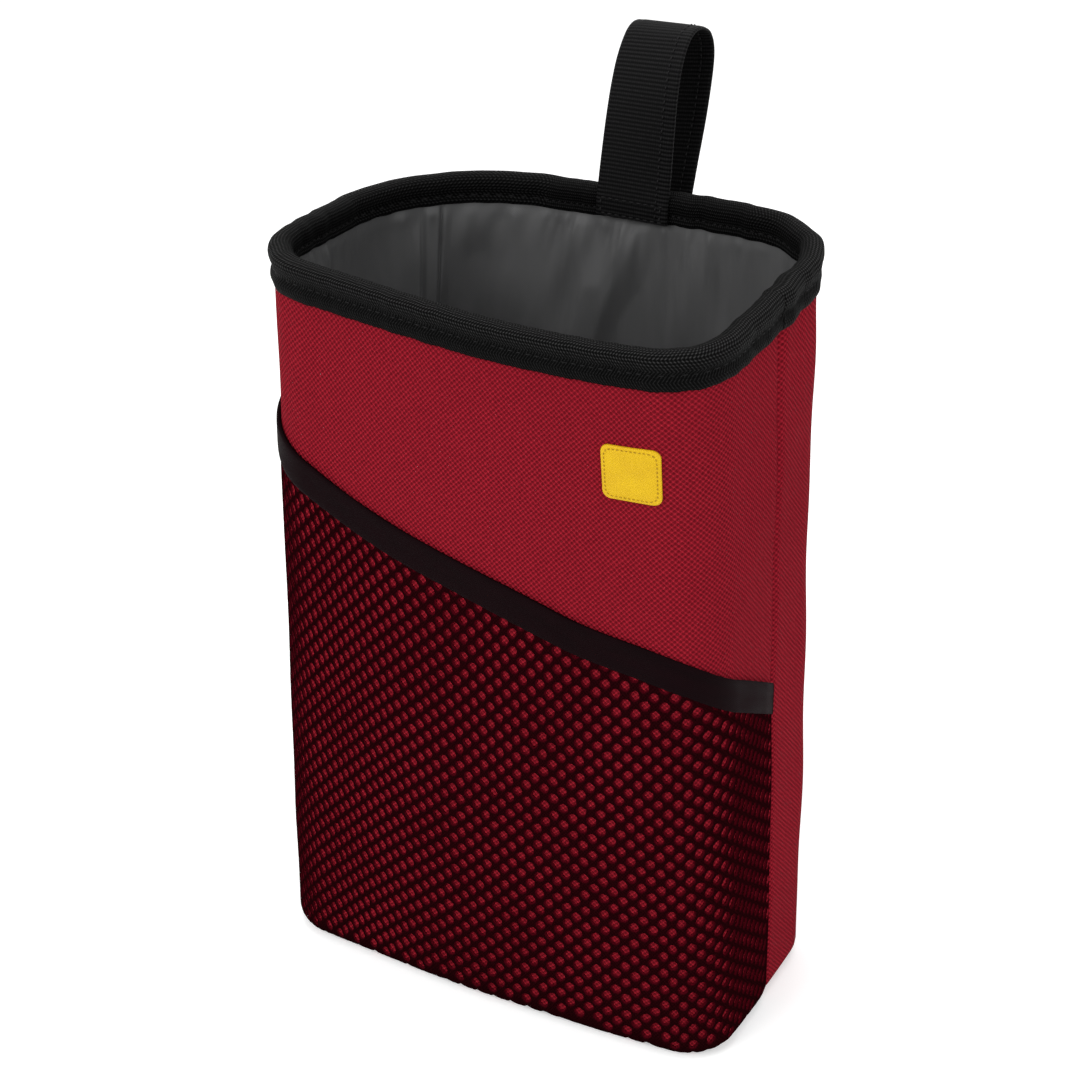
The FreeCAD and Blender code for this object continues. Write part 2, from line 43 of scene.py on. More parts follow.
# Outlines of the bag: front, right, back and left side, each with the corner that follows it.
BASE = {
    "width": 165.0,
    "depth": 87.0,
    "sides": (770.0, 900.0, 770.0, 900.0),
    "corners": (17.0, 17.0, 17.0, 17.0),
}
MOUTH = {
    "width": 153.0,
    "depth": 112.0,
    "sides": (350.0, 900.0, 900.0, 900.0),
    "corners": (22.0, 33.0, 52.0, 26.0),
}

# Soft lower edge's radius, heights of the tape's top and the fabric's edge, and the side seams' place.
EDGE = 6.5
TOP = 253.5
RIM = 252.0
SEAM = 1.5

# Layers of the wall, from outside to inside.
FABRIC = 0.8
FOAM = 2.6
LINING = 0.5
WALL = FABRIC + FOAM + LINING

# Rim's tape: how far it reaches down outside and inside, and how deep its row of stitches lies.
BINDING_DROP = 9.5
BINDING_DROP_INSIDE = 7.0
STITCH_ROW = 5.0


def short_turn(start, end):
    """The shorter way round from one angle to another."""
    return (end - start + math.pi) % math.tau - math.pi


def outline_arcs(spec):
    """Tangent arcs of one outline as arrays: centre, radius, start and turn."""
    ways = np.array([(0, -1), (1, 0), (0, 1), (-1, 0)], float)
    reach = np.array([spec["depth"], spec["width"]] * 2) / 2
    radius = np.array(spec["sides"])
    centre = ways * (reach - radius)[:, None]
    small = np.array(spec["corners"])
    corner = []
    for i in range(4):
        j = (i + 1) % 4
        near = radius[i] - small[i]
        far = radius[j] - small[i]
        line = centre[j] - centre[i]
        gap = np.linalg.norm(line)
        along = (near**2 - far**2 + gap**2) / (2 * gap)
        aside = math.sqrt(near**2 - along**2)
        middle = centre[i] + line * (along / gap)
        offset = np.array([line[1], -line[0]]) * (aside / gap)
        corner.append(max(middle + offset, middle - offset, key=lambda place: place @ (ways[i] + ways[j])))
    rows = []
    for i in range(4):
        j = (i + 1) % 4
        before = corner[i - 1] - centre[i]
        after = corner[i] - centre[i]
        past = corner[i] - centre[j]
        first, second, third = (math.atan2(way[1], way[0]) for way in (before, after, past))
        rows.append((centre[i], radius[i], first, short_turn(first, second)))
        rows.append((corner[i], small[i], second, short_turn(second, third)))
    return [np.array(column) for column in zip(*rows)]


BASE_ARCS = outline_arcs(BASE)
MOUTH_ARCS = outline_arcs(MOUTH)
LENGTHS = (BASE_ARCS[1] * BASE_ARCS[3] + MOUTH_ARCS[1] * MOUTH_ARCS[3]) / 2
STARTS = np.concatenate([[0], np.cumsum(LENGTHS)[:-1]])
AROUND = LENGTHS.sum()

# Arcs of the outlines, in the order in which they follow each other.
FRONT_ARC = 0
FRONT_RIGHT_ARC = 1
RIGHT_ARC = 2
BACK_LEFT_ARC = 5
LEFT_ARC = 6

# Unevenness of the soft wall: spread of its waves, and heights at which it bulges and is gathered.
WAVE_SPREAD = (0.6, 1.6)
BULGE_FROM = (-2, 40)
BULGE_TO = (205, 238)
GATHER_FROM = (212, 236)

# Warp of the soft rim: mean lift, height and run of its two waves, and where the wall starts to follow.
RIM_LIFT = 0.75
RIM_TILT = (1.6, -139)
RIM_WARP = (1.8, 1)
WARP_FROM = 185


def ripple(across, up, seed, count, long):
    """Smooth seeded unevenness between about -1 and 1, from a few crossing waves round the bag."""
    rng = np.random.default_rng(seed)
    total = np.zeros(np.broadcast(across, up).shape)
    for _ in range(count):
        turns = max(1, round(AROUND / (long * rng.uniform(*WAVE_SPREAD))))
        drift = rng.uniform(-1, 1) / long
        phase = rng.uniform(0, math.tau)
        total += np.sin(math.tau * (turns * across / AROUND + drift * up) + phase)
    return total / math.sqrt(count)


def smooth(value, low, high):
    """Soft step from 0 to 1 between two values."""
    share = np.clip((value - low) / (high - low), 0, 1)
    return share * share * (3 - 2 * share)


def wall(run, up, depth=0.0, soft=True):
    """Points of the wall, at a run round it, a height above its soft lower edge and a depth in it."""
    run, up, depth = np.broadcast_arrays(*(np.asarray(item, float) for item in (run, up, depth)))
    turn = np.mod(run, AROUND)
    arc = np.clip(np.searchsorted(STARTS, turn, side="right") - 1, 0, len(STARTS) - 1)
    share = (turn - STARTS[arc]) / LENGTHS[arc]
    rise = np.clip(up / (TOP - EDGE), 0, None)[..., None]
    places = []
    ways = []
    for centre, radius, start, sweep in (BASE_ARCS, MOUTH_ARCS):
        angle = start[arc] + sweep[arc] * share
        way = np.stack([np.cos(angle), np.sin(angle)], axis=-1)
        places.append(centre[arc] + way * radius[arc][..., None])
        ways.append(way)
    flat = places[0] * (1 - rise) + places[1] * rise
    way = ways[0] * (1 - rise) + ways[1] * rise
    way /= np.linalg.norm(way, axis=-1, keepdims=True)
    bend = np.clip(-up / EDGE, 0, math.pi / 2)
    under = np.clip(-up - EDGE * math.pi / 2, 0, None)
    reach = -EDGE * (1 - np.cos(bend)) - under
    height = np.where(up >= 0, EDGE + up, EDGE * (1 - np.sin(bend)))
    out = -depth
    if soft:
        out = out + unevenness(turn, up)
        height = height + rim_lift(turn) * smooth(up, WARP_FROM, TOP - EDGE)
    side = np.cos(bend) * out + reach
    flat = flat + way * side[..., None]
    return np.concatenate([flat, (height - np.sin(bend) * out)[..., None]], axis=-1)


def unevenness(turn, up):
    """How far the soft wall stands out of its plain form."""
    body = smooth(up, *BULGE_FROM) * (1 - smooth(up, *BULGE_TO))
    broad = 0.3 * ripple(turn, up, seed=3, count=7, long=120)
    broad = broad + 0.22 * ripple(turn, up, seed=5, count=8, long=48)
    gather = 0.22 * ripple(turn, up * 0.2, seed=9, count=9, long=11) * smooth(up, *GATHER_FROM)
    return broad * body + gather


def rim_lift(turn):
    """The soft rim is a little warped: higher at the front left and back right corners."""
    tilt = RIM_TILT[0] * np.cos(math.tau * (turn - RIM_TILT[1]) / AROUND)
    warp = RIM_WARP[0] * np.cos(2 * math.tau * (turn - RIM_WARP[1]) / AROUND)
    return RIM_LIFT + tilt + warp


def seam_run(up, right):
    """Run at which the side seam lies, at each height."""
    up = np.asarray(up, float)
    arc = RIGHT_ARC if right else LEFT_ARC
    steps = np.linspace(0.001, 0.999, 160)
    runs = STARTS[arc] + LENGTHS[arc] * steps
    places = wall(runs[None, :], up.reshape(-1, 1), soft=False)[..., 1]
    found = []
    for row in places:
        order = np.argsort(row)
        found.append(np.interp(SEAM, row[order], runs[order]))
    return np.array(found).reshape(up.shape)


def add_mesh(name, points, faces, uvs=None):
    """Smooth mesh of points in millimetres, with cloth coordinates if it has any."""
    mesh = bpy.data.meshes.new(name)
    mesh.from_pydata((np.asarray(points, float).reshape(-1, 3) * MM).tolist(), [], faces)
    if uvs is not None:
        layer = mesh.uv_layers.new(name="cloth")
        layer.data.foreach_set("uv", np.asarray(uvs, np.float32).ravel())
    mesh.polygons.foreach_set("use_smooth", [True] * len(mesh.polygons))
    mesh.update()
    piece = bpy.data.objects.new(name, mesh)
    bpy.context.scene.collection.objects.link(piece)
    return piece


def grid(points, across, up, ring=False, tube=False, flip=False):
    """Faces and cloth coordinates of a sheet of points; rings and tubes close on themselves."""
    rows, columns = points.shape[:2]
    row_ends = rows if tube else rows - 1
    column_ends = columns if ring else columns - 1
    faces = []
    uvs = []
    for row in range(row_ends):
        for column in range(column_ends):
            square = [(row, column), (row, column + 1), (row + 1, column + 1), (row + 1, column)]
            if flip:
                square.reverse()
            faces.append([(r % rows) * columns + c % columns for r, c in square])
            for r, c in square:
                uvs.append((across[r % rows, c] if across.ndim == 2 else across[c], up[r]))
    return faces, uvs


def finish_piece(piece, material, replaced):
    """Give a piece its material and its place on the part."""
    piece.data.materials.append(material)
    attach(piece, "root")
    if replaced:
        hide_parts(*replaced)
    return piece


def thicken(piece, thickness):
    """Give a sheet its thickness, inwards from its outer face."""
    modifier = piece.modifiers.new("thickness", "SOLIDIFY")
    modifier.thickness = thickness * MM
    modifier.offset = -1


# Places of the colour sockets on a mixing node.
COLOUR_FIRST = 6
COLOUR_SECOND = 7
COLOUR_MIXED = 2


class Cloth:
    """A procedural material in the making."""

    def __init__(self, name, **settings):
        self.material = bpy.data.materials.new(name)
        self.material.use_nodes = True
        self.tree = self.material.node_tree
        self.shader = self.tree.nodes["Principled BSDF"]
        for socket, value in settings.items():
            self.shader.inputs[socket.replace("_", " ")].default_value = value
        self.uv = self.add("ShaderNodeUVMap", uv_map="cloth").outputs[0]
        self.place = self.add("ShaderNodeTexCoord").outputs["Object"]

    def add(self, kind, **settings):
        node = self.tree.nodes.new(kind)
        for key, value in settings.items():
            setattr(node, key, value)
        return node

    def put(self, socket, value):
        if isinstance(value, (int, float, tuple)):
            socket.default_value = value
        else:
            self.tree.links.new(value, socket)

    def math(self, operation, first, second=0.0, third=0.0):
        node = self.add("ShaderNodeMath", operation=operation)
        for socket, value in zip(node.inputs, (first, second, third)):
            self.put(socket, value)
        return node.outputs[0]

    def noise(self, vector, scale, detail, stretch=(1.0, 1.0, 1.0)):
        mapping = self.add("ShaderNodeMapping")
        self.put(mapping.inputs["Vector"], vector)
        self.put(mapping.inputs["Scale"], stretch)
        node = self.add("ShaderNodeTexNoise")
        self.put(node.inputs["Vector"], mapping.outputs[0])
        self.put(node.inputs["Scale"], float(scale))
        self.put(node.inputs["Detail"], float(detail))
        return node.outputs["Fac"]

    def range(self, value, low, high, to_low, to_high):
        node = self.add("ShaderNodeMapRange")
        for socket, item in zip(node.inputs, (value, low, high, to_low, to_high)):
            self.put(socket, item)
        return node.outputs[0]

    def blend(self, share, first, second):
        node = self.add("ShaderNodeMix", data_type="RGBA", blend_type="MIX")
        self.put(node.inputs["Factor"], share)
        self.put(node.inputs[COLOUR_FIRST], first)
        self.put(node.inputs[COLOUR_SECOND], second)
        return node.outputs[COLOUR_MIXED]

    def threads(self, across, up, wobble):
        """Sines across and along the cloth, with that many millimetres to a thread."""
        parts = self.add("ShaderNodeSeparateXYZ")
        self.put(parts.inputs[0], self.uv)
        waves = []
        for value, pitch, scale in ((parts.outputs[0], across, 0.3), (parts.outputs[1], up, 0.7)):
            phase = self.math("MULTIPLY", value, math.pi / pitch)
            shift = self.noise(self.uv, scale, 2.0)
            phase = self.math("ADD", phase, self.math("MULTIPLY", shift, wobble))
            waves.append(self.math("SINE", phase))
        return waves

    def bump(self, height, distance, strength):
        node = self.add("ShaderNodeBump")
        self.put(node.inputs["Height"], height)
        self.put(node.inputs["Distance"], distance * MM)
        self.put(node.inputs["Strength"], strength)
        self.tree.links.new(node.outputs[0], self.shader.inputs["Normal"])

    def colour(self, value):
        self.put(self.shader.inputs["Base Color"], value)

    def roughness(self, value):
        self.put(self.shader.inputs["Roughness"], value)


# Width of a thread of the red fabric.
RED_THREAD = 0.9


def red_fabric():
    """Red woven fabric with uneven threads and a faint wash."""
    cloth = Cloth("red_fabric", Specular_IOR_Level=0.02, Sheen_Weight=0.0)
    warp, weft = cloth.threads(RED_THREAD, RED_THREAD, wobble=2.2)
    crossing = cloth.math("MULTIPLY", warp, weft)
    grain = cloth.noise(cloth.uv, 1.0, 3.0, stretch=(0.12, 1.6, 1.0))
    slub = cloth.noise(cloth.uv, 1.0, 3.0, stretch=(1.6, 0.08, 1.0))
    wash = cloth.noise(cloth.place, 14.0, 3.0)
    lift = cloth.range(crossing, -0.75, 0.75, 0.0, 1.0)
    tone = cloth.math("ADD", cloth.math("MULTIPLY", lift, 0.7), cloth.math("MULTIPLY", grain, 0.22))
    tone = cloth.math("ADD", tone, cloth.math("MULTIPLY", slub, 0.2))
    base = cloth.blend(tone, (0.06, 0.002, 0.005, 1), (0.43, 0.018, 0.034, 1))
    cloth.colour(cloth.blend(cloth.range(wash, 0.3, 0.7, 0.0, 0.2), base, (0.17, 0.006, 0.013, 1)))
    cloth.roughness(cloth.range(lift, 0.0, 1.0, 0.95, 0.8))
    cloth.bump(cloth.math("ADD", lift, cloth.math("MULTIPLY", grain, 0.3)), 0.5, 1.0)
    return cloth.material


# Tape's weave: pitch of its twill and of its cross ribs, and where the twill turns back and how it slants.
TWILL = 0.98
TWILL_TURN = 3.8
TWILL_SLANT = 0.6
CROSS_RIB = 1.05

# Parts of the tape's section, by length along it: where it gets dotted, where painted light rises from a
# shaded lower outside to the top, and where painted shade falls on the inside face.
TAPE_DOTTED = (8.0, 10.5)
TAPE_PAINTED_TOP_LIGHT = (6.5, 10.5)
TAPE_PAINTED_INSIDE_SHADE = (14.0, 17.5)


def black_tape():
    """Black twill tape, with painted light over the top of the rim and painted shade low on the outside and
    on the inside.
    """
    cloth = Cloth("black_tape", Specular_IOR_Level=0.04, Sheen_Weight=0.0)
    parts = cloth.add("ShaderNodeSeparateXYZ")
    cloth.put(parts.inputs[0], cloth.uv)
    across = parts.outputs[0]
    along = parts.outputs[1]
    turned = cloth.math("PINGPONG", along, TWILL_TURN)
    slant = cloth.math("ADD", across, cloth.math("MULTIPLY", turned, TWILL_SLANT))
    twill = cloth.math("SINE", cloth.math("MULTIPLY", slant, math.tau / TWILL))
    cross = cloth.math("SINE", cloth.math("MULTIPLY", along, math.tau / CROSS_RIB))
    dotted = cloth.math("MULTIPLY", cross, cloth.range(along, *TAPE_DOTTED, 0.25, 0.9))
    fuzz = cloth.noise(cloth.uv, 2.2, 3.0)
    lift = cloth.range(cloth.math("ADD", twill, dotted), -1.0, 1.5, 0.0, 1.0)
    tone = cloth.math("MULTIPLY", cloth.math("POWER", lift, 2.4), cloth.range(fuzz, 0.3, 0.7, 0.3, 1.3))
    # Painted light on the top of the tape, and painted shade low on its outside and on its inside face.
    tone = cloth.math("MULTIPLY", tone, cloth.range(along, *TAPE_PAINTED_TOP_LIGHT, 0.6, 1.4))
    tone = cloth.math("MULTIPLY", tone, cloth.range(along, *TAPE_PAINTED_INSIDE_SHADE, 1.0, 0.4))
    cloth.colour(cloth.blend(tone, (0.0005, 0.0005, 0.0005, 1), (0.038, 0.0375, 0.0375, 1)))
    cloth.roughness(cloth.range(fuzz, 0.2, 0.8, 0.6, 0.85))
    cloth.bump(lift, 0.45, 1.0)
    return cloth.material


def pocket_mesh():
    """Black knitted strands, with a painted red reflection of the panel on the lower walls of the holes."""
    cloth = Cloth("black_mesh", Specular_IOR_Level=0.0, Sheen_Weight=0.0)
    stand = cloth.add("ShaderNodeAttribute", attribute_name="stand").outputs["Fac"]
    knit = cloth.noise(cloth.uv, 2.6, 3.0, stretch=(1.0, 0.6, 1.0))
    loops = cloth.math("MULTIPLY", *cloth.threads(0.55, 0.75, wobble=3.0))
    tone = cloth.math("MULTIPLY", knit, cloth.range(loops, -1.0, 1.0, 0.5, 1.3))
    strand = cloth.blend(tone, (0.0045, 0.0006, 0.001, 1), (0.026, 0.0024, 0.004, 1))
    # Painted red reflection of the panel beneath, on the lower walls of the holes, fading into the black
    # strands above.
    cloth.colour(cloth.blend(cloth.range(stand, 0.05, 0.95, 0.0, 1.0), (0.1, 0.003, 0.009, 1), strand))
    cloth.roughness(cloth.range(knit, 0.2, 0.8, 0.7, 0.92))
    cloth.bump(cloth.math("ADD", loops, knit), 0.16, 0.8)
    return cloth.material


def pocket_band():
    """Smooth dark stretch band."""
    cloth = Cloth("pocket_band", Specular_IOR_Level=0.02, Sheen_Weight=0.0)
    warp, weft = cloth.threads(0.42, 0.36, wobble=1.5)
    weave = cloth.math("MULTIPLY", warp, weft)
    wear = cloth.noise(cloth.uv, 0.16, 4.0, stretch=(0.5, 1.6, 1.0))
    tone = cloth.math("ADD", cloth.math("MULTIPLY", wear, 0.8), cloth.math("MULTIPLY", weave, 0.12))
    cloth.colour(cloth.blend(tone, (0.003, 0.0009, 0.0013, 1), (0.01, 0.0032, 0.0044, 1)))
    cloth.roughness(cloth.range(wear, 0.2, 0.8, 0.55, 0.72))
    cloth.bump(cloth.math("ADD", weave, cloth.math("MULTIPLY", wear, 0.6)), 0.06, 0.7)
    return cloth.material


# Length of one rib of the webbing.
WEBBING_RIB = 1.3


def webbing():
    """Black webbing with ribs across it."""
    cloth = Cloth("black_webbing", Specular_IOR_Level=0.05, Sheen_Weight=0.0)
    warp, weft = cloth.threads(0.4, WEBBING_RIB / 2, wobble=0.5)
    fuzz = cloth.noise(cloth.uv, 1.6, 3.0, stretch=(1.0, 0.3, 1.0))
    lift = cloth.range(cloth.math("MULTIPLY_ADD", warp, 0.3, weft), -1.1, 1.2, 0.0, 1.0)
    tone = cloth.math("MULTIPLY", cloth.math("POWER", lift, 1.6), cloth.range(fuzz, 0.2, 0.8, 0.4, 1.2))
    cloth.colour(cloth.blend(tone, (0.0005, 0.0005, 0.0006, 1), (0.016, 0.0157, 0.016, 1)))
    cloth.roughness(cloth.range(fuzz, 0.2, 0.8, 0.5, 0.7))
    cloth.bump(lift, 0.14, 0.8)
    return cloth.material


def lining():
    """Grey lining with a slight gloss."""
    cloth = Cloth("grey_lining", Specular_IOR_Level=0.3, Sheen_Weight=0.0)
    warp, weft = cloth.threads(0.3, 0.3, wobble=0.6)
    weave = cloth.math("MULTIPLY", warp, weft)
    streak = cloth.noise(cloth.uv, 0.09, 4.0, stretch=(1.8, 0.35, 1.0))
    tone = cloth.math("ADD", cloth.math("MULTIPLY", streak, 0.8), cloth.math("MULTIPLY", weave, 0.08))
    cloth.colour(cloth.blend(tone, (0.06, 0.06, 0.061, 1), (0.1, 0.1, 0.101, 1)))
    cloth.roughness(cloth.range(streak, 0.2, 0.8, 0.46, 0.6))
    cloth.bump(cloth.math("ADD", weave, cloth.math("MULTIPLY", streak, 2.0)), 0.05, 0.6)
    return cloth.material


def yellow_patch():
    """Yellow coated cloth."""
    cloth = Cloth("yellow_patch", Specular_IOR_Level=0.2, Coat_Weight=0.05, Coat_Roughness=0.4)
    warp, weft = cloth.threads(0.5, 0.5, wobble=1.0)
    weave = cloth.math("MULTIPLY", warp, weft)
    wash = cloth.noise(cloth.uv, 0.12, 3.0)
    tone = cloth.math("ADD", wash, cloth.math("MULTIPLY", weave, 0.12))
    cloth.colour(cloth.blend(tone, (0.62, 0.36, 0.003, 1), (0.82, 0.53, 0.006, 1)))
    cloth.roughness(cloth.range(wash, 0.2, 0.8, 0.42, 0.58))
    cloth.bump(cloth.math("ADD", weave, wash), 0.05, 0.6)
    return cloth.material


def thread(name, dark, light):
    """Sewing thread."""
    cloth = Cloth(name, Specular_IOR_Level=0.1)
    ply = cloth.noise(cloth.place, 900.0, 2.0)
    cloth.colour(cloth.blend(ply, dark, light))
    cloth.roughness(cloth.range(ply, 0.2, 0.8, 0.45, 0.65))
    cloth.bump(ply, 0.08, 0.6)
    return cloth.material


def stiffener(name, dark, light):
    """Foam or board between the fabric and the lining."""
    cloth = Cloth(name, Specular_IOR_Level=0.2)
    cells = cloth.noise(cloth.place, 420.0, 3.0)
    cloth.colour(cloth.blend(cells, dark, light))
    cloth.roughness(cloth.range(cells, 0.2, 0.8, 0.7, 0.9))
    cloth.bump(cells, 0.2, 0.5)
    return cloth.material


RED = red_fabric()
TAPE = black_tape()
MESH = pocket_mesh()
BAND = pocket_band()
WEBBING = webbing()
GREY = lining()
YELLOW = yellow_patch()
BLACK_THREAD = thread("black_thread", (0.002, 0.002, 0.002, 1), (0.014, 0.0135, 0.014, 1))
YELLOW_THREAD = thread("yellow_thread", (0.3, 0.17, 0.01, 1), (0.5, 0.3, 0.02, 1))
FOAM_SHEET = stiffener("foam_sheet", (0.55, 0.55, 0.53, 1), (0.75, 0.75, 0.73, 1))
BOARD = stiffener("board_sheet", (0.6, 0.6, 0.58, 1), (0.75, 0.75, 0.73, 1))


# Dip of the panels at their side seams: how deep and how wide it is.
SEAM_DEEP = 1.5
SEAM_WIDE = 1.5

# Panels: how far they reach under the base, columns and rows of their grids, and depths of the foam's faces.
UNDER_BASE = 13.0
CLOTH_GRID = (190, 120)
FOAM_GRID = (90, 40)
FOAM_CLEAR = 0.1
FOAM_DEPTHS = (FABRIC + FOAM_CLEAR, FABRIC + FOAM - FOAM_CLEAR)


def seam_dip(run, left, right):
    """The panels turn in towards their side seams."""
    near = np.minimum(run - left, right - run)
    return SEAM_DEEP * np.exp(-((near / SEAM_WIDE) ** 2))


def panel(name, front, material, depths, replaced, slot, columns, rows):
    """One half of the wall between the side seams, from under the base to inside the rim's tape."""
    under = np.linspace(-UNDER_BASE, 0, 9)[:-1]
    up = np.concatenate([under, np.linspace(0, RIM - EDGE - 1, rows)])
    right = seam_run(np.clip(up, 0, None), True)[:, None]
    left = seam_run(np.clip(up, 0, None), False)[:, None]
    if front:
        left = left - AROUND
    else:
        left, right = right, left
    share = np.linspace(0, 1, columns)
    share = (share * 3 + smooth(share, 0, 1)) / 4
    run = left + (right - left) * share
    outer = wall(run, up[:, None], depths[0] + seam_dip(run, left, right))
    if len(depths) == 1:
        faces, uvs = grid(outer, run, up)
        piece = add_mesh(name, outer, faces, uvs)
        thicken(piece, FABRIC)
    else:
        inner = wall(run, up[:, None], depths[1])
        outer[..., 2] = np.maximum(outer[..., 2], FABRIC)
        inner[..., 2] = np.maximum(inner[..., 2], FABRIC + FOAM)
        loop = np.concatenate([outer, inner[::-1]])
        runs = np.concatenate([run, run[::-1]])
        ups = np.concatenate([up, up[::-1], up[:1]])
        faces, uvs = grid(loop, runs, ups, tube=True)
        count = len(loop)
        for side, order in ((0, 1), (columns - 1, -1)):
            for row in range(len(outer) - 1):
                ring = [row, row + 1, count - 2 - row, count - 1 - row]
                faces.append([item * columns + side for item in ring][::order])
                uvs.extend([(0, 0)] * 4)
        piece = add_mesh(name, loop, faces, uvs)
    return finish_piece(piece, material, replaced)


panel("front_cloth", True, RED, (0.0,), ["front_panel"], "red_fabric", *CLOTH_GRID)
panel("back_cloth", False, RED, (0.0,), ["back_panel"], "red_fabric", *CLOTH_GRID)
panel("front_foam", True, FOAM_SHEET, FOAM_DEPTHS, ["front_interlining"], "foam", *FOAM_GRID)
panel("back_foam", False, FOAM_SHEET, FOAM_DEPTHS, ["back_interlining"], "foam", *FOAM_GRID)

# Sheets in the base: points round them, rings towards the middle, and how high their slight waves are.
SHEET_POINTS = 180
SHEET_RINGS = 26
SHEET_WAVE = 0.12


def floor_sheet(name, height, depth, material, replaced, flip, thickness):
    """Flat sheet over the base, gathered out of rings towards its middle."""
    runs = np.linspace(0, AROUND, SHEET_POINTS + 1)[:-1]
    rim = wall(runs, np.zeros(SHEET_POINTS), depth, soft=False)[:, :2]
    level = np.full((SHEET_POINTS, 1), height)
    shares = np.linspace(1, 0.02, SHEET_RINGS)
    points = np.stack([np.concatenate([rim * share, level], axis=1) for share in shares])
    waves = SHEET_WAVE * np.sin(points[..., 0] / 9) * np.sin(points[..., 1] / 7 + 1)
    points[..., 2] += waves * (shares[:, None] < 0.9)
    faces, _ = grid(points, np.arange(SHEET_POINTS + 1.0), shares, ring=True, flip=flip)
    middle = range(SHEET_POINTS - 1, -1, -1) if flip else range(SHEET_POINTS)
    faces.append([(SHEET_RINGS - 1) * SHEET_POINTS + item for item in middle])
    flat = points.reshape(-1, 3)[:, :2]
    uvs = [flat[index] for face in faces for index in face]
    piece = add_mesh(name, points, faces, uvs)
    thicken(piece, thickness)
    return finish_piece(piece, material, replaced)


floor_sheet("base_cloth", 0.12, 8.5, RED, ["base_panel"], True, 0.55)
floor_sheet("liner_bottom", WALL + 0.1, 5.0, GREY, ["liner_floor"], False, LINING)
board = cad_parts["base_board"]
board.data.materials.clear()
board.data.materials.append(BOARD)

# Felled seam of the lining at the back left: its place, the width of its fell and of its creases.
LINER_SEAM = STARTS[BACK_LEFT_ARC] + 0.5 * LENGTHS[BACK_LEFT_ARC]
FELL = 4.4
CREASE = 0.55

# Marked folds at the back: run, slant, width, depth and how far down each one reaches.
LINER_FOLDS = (
    (344, 0.1, 9.0, 2.6, 55),
    (322, 0.35, 7.0, 2.4, 90),
    (296, 0.4, 8.0, 2.2, 100),
    (262, 0.25, 7.0, 2.0, 80),
)

# Faint folds, how far folds stand in, run and width of the gathers, and the lining's clearance and sheet.
FAINT_FOLDS = 30
FOLD_RANGE = (0.3, 3.8)
GATHER_RUN = 220
GATHER_WIDE = 20
LINER_CLEAR = 0.45
LINER_SHEET = 0.35


def liner():
    """Lining: soft folds that start under the tape, puckers along it, and a felled seam at the back left."""
    rng = np.random.default_rng(21)
    run = np.linspace(0, AROUND, 341)[:-1]
    run = np.union1d(run, np.linspace(LINER_SEAM - 3, LINER_SEAM + FELL + 3, 53))
    up = np.concatenate([np.linspace(-2, 150, 36)[:-1], np.linspace(150, RIM - EDGE - 1, 72)])
    across, height = np.meshgrid(run, up)
    drop = np.clip(RIM - BINDING_DROP_INSIDE - EDGE - height, 0, None)
    folds = np.zeros_like(across)
    shapes = list(LINER_FOLDS)
    for _ in range(FAINT_FOLDS):
        shapes.append((
            rng.uniform(0, AROUND),
            rng.uniform(-0.5, 0.5),
            rng.uniform(3.0, 8.5),
            rng.uniform(0.5, 1.8),
            rng.uniform(25, 110),
        ))
    for start, slant, wide, deep, reach in shapes:
        away = across - start - slant * drop
        away = (away + AROUND / 2) % AROUND - AROUND / 2
        share = away / (wide + 0.07 * drop)
        folds += deep * np.exp(-(share**2)) * (1 - np.exp(-drop / 7)) * np.exp(-((drop / reach) ** 2))
    puckers = 1.2 * ripple(across, drop * 0.4, seed=33, count=10, long=7.0)
    puckers = puckers * np.exp(-drop / 8) * (1 - np.exp(-drop / 1.2))
    gathers = 0.5 * ripple(across, drop * 0.1, seed=37, count=8, long=8.0)
    gathers = gathers * np.exp(-(((across - GATHER_RUN) / GATHER_WIDE) ** 2)) * smooth(drop, 0, 12)
    broad = 0.7 * ripple(across, drop, seed=35, count=6, long=60) * smooth(drop, 0, 40)
    away = across - LINER_SEAM - 0.02 * drop
    fell = 0.5 * (smooth(away, -0.5, 0.1) - smooth(away, FELL - 0.1, FELL + 0.5))
    crease = np.exp(-(((away + 0.3) / CREASE) ** 2)) + np.exp(-(((away - FELL) / CREASE) ** 2))
    sag = 3.6 * smooth(away, -4.5, 0.5) * (1 - smooth(away, 5, 28)) * smooth(drop, 4, 32)
    hollow = np.exp(-(((away + 11) / 7) ** 2)) * smooth(drop, 4, 22)
    uneven = np.clip((folds + puckers + gathers + broad) * (1 - hollow), *FOLD_RANGE)
    inward = np.maximum(uneven + sag + fell - crease, 0)
    points = wall(across, height, WALL + LINER_CLEAR + inward * smooth(drop, 0.3, 3))
    points[..., 2] = np.maximum(points[..., 2], WALL + 0.2)
    faces, uvs = grid(points, np.append(run, AROUND), up, ring=True, flip=True)
    piece = add_mesh("liner", points, faces, uvs)
    thicken(piece, LINER_SHEET)
    return finish_piece(piece, GREY, ["liner_wall"])


liner()


def lengths_along(points):
    """Length along a broken line at each of its points."""
    return np.concatenate([[0], np.cumsum(np.linalg.norm(np.diff(points, axis=0), axis=1))])


def even(points, count):
    """Points spaced evenly along a broken line."""
    points = np.asarray(points, float)
    length = lengths_along(points)
    at = np.linspace(0, length[-1], count)
    return np.stack([np.interp(at, length, column) for column in points.T], axis=1)


def spline(points, count, closed=False):
    """Smooth curve through points, evenly spaced along it."""
    points = np.asarray(points, float)
    if closed:
        around = np.concatenate([points[-1:], points, points[:2]])
    else:
        first = 2 * points[0] - points[1]
        last = 2 * points[-1] - points[-2]
        around = np.concatenate([[first], points, [last]])
    fine = []
    steps = np.linspace(0, 1, 24, endpoint=False)[:, None]
    for a, b, c, d in zip(around, around[1:], around[2:], around[3:]):
        square = 2 * a - 5 * b + 4 * c - d
        cube = 3 * (b - c) + d - a
        fine.append(b + 0.5 * steps * (c - a + steps * (square + steps * cube)))
    fine = np.concatenate(fine + ([fine[0][:1]] if closed else [around[-2:-1]]))
    return even(fine, count + 1)[:-1] if closed else even(fine, count)


